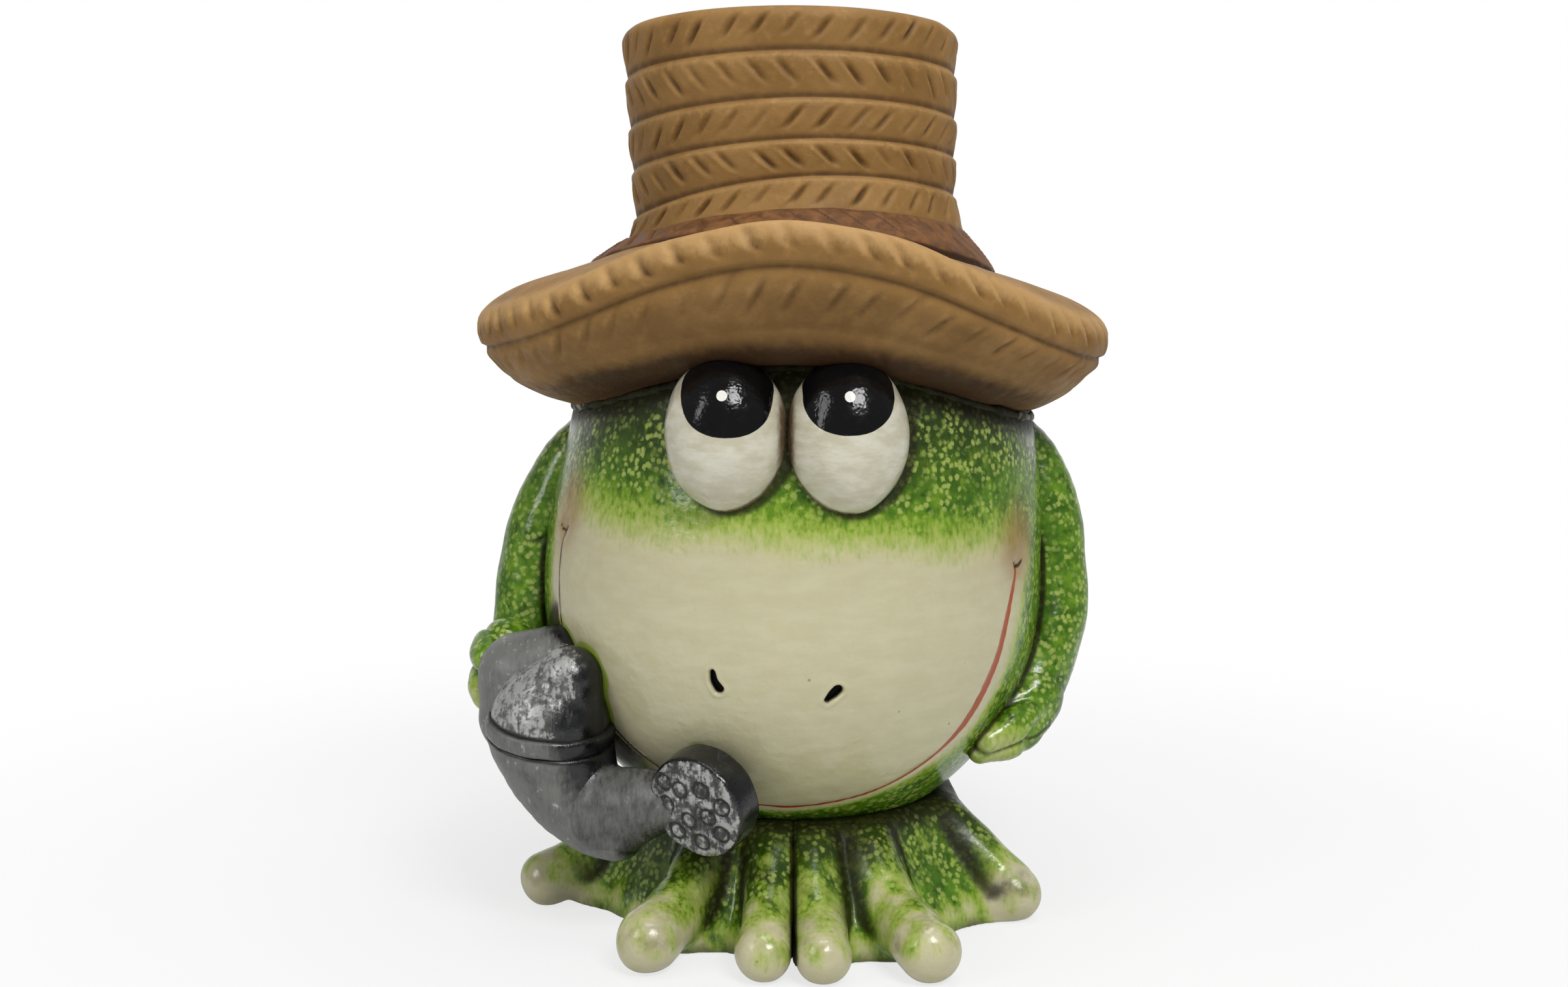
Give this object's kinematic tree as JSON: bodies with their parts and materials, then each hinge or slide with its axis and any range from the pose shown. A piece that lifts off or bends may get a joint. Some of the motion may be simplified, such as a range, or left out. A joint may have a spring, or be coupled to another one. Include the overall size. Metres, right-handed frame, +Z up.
{
  "type": "frog figurine",
  "caption": "Glazed earthenware frog with a ball-shaped body, bulging eyes and webbed feet, in a straw hat and holding a small watering can.",
  "frame": {"origin": "on the floor under the middle of the hat's brim and of the ball body", "axes": "+Z up, -Y is the frog's front, +X is the viewer's right"},
  "size_m": [0.2209, 0.219, 0.303],
  "materials": {
    "frog_glaze": "green speckled gloss glaze, cream face",
    "eye_glaze": "off-white gloss glaze, black pupils",
    "straw_paint": "matte tan paint",
    "band_paint": "matte dark brown paint",
    "bedding": "pale unfired bedding",
    "can_paint": "black with silver dry-brush"
  },
  "bodies": {
    "root": {"body_shell": "frog_glaze", "left_eye": "eye_glaze", "right_eye": "eye_glaze", "left_arm": "frog_glaze", "right_arm": "frog_glaze", "left_hand": "frog_glaze", "right_hand": "frog_glaze", "left_foot": "frog_glaze", "right_foot": "frog_glaze", "hat_brim": "straw_paint", "hat_crown": "straw_paint", "hat_band": "band_paint", "hat_bead": "bedding", "can_body": "can_paint", "can_rim": "can_paint", "can_dome": "can_paint", "can_handle": "can_paint", "can_spout": "can_paint", "can_rose": "can_paint", "can_rose_rings": "can_paint"}
  },
  "joints": []
}
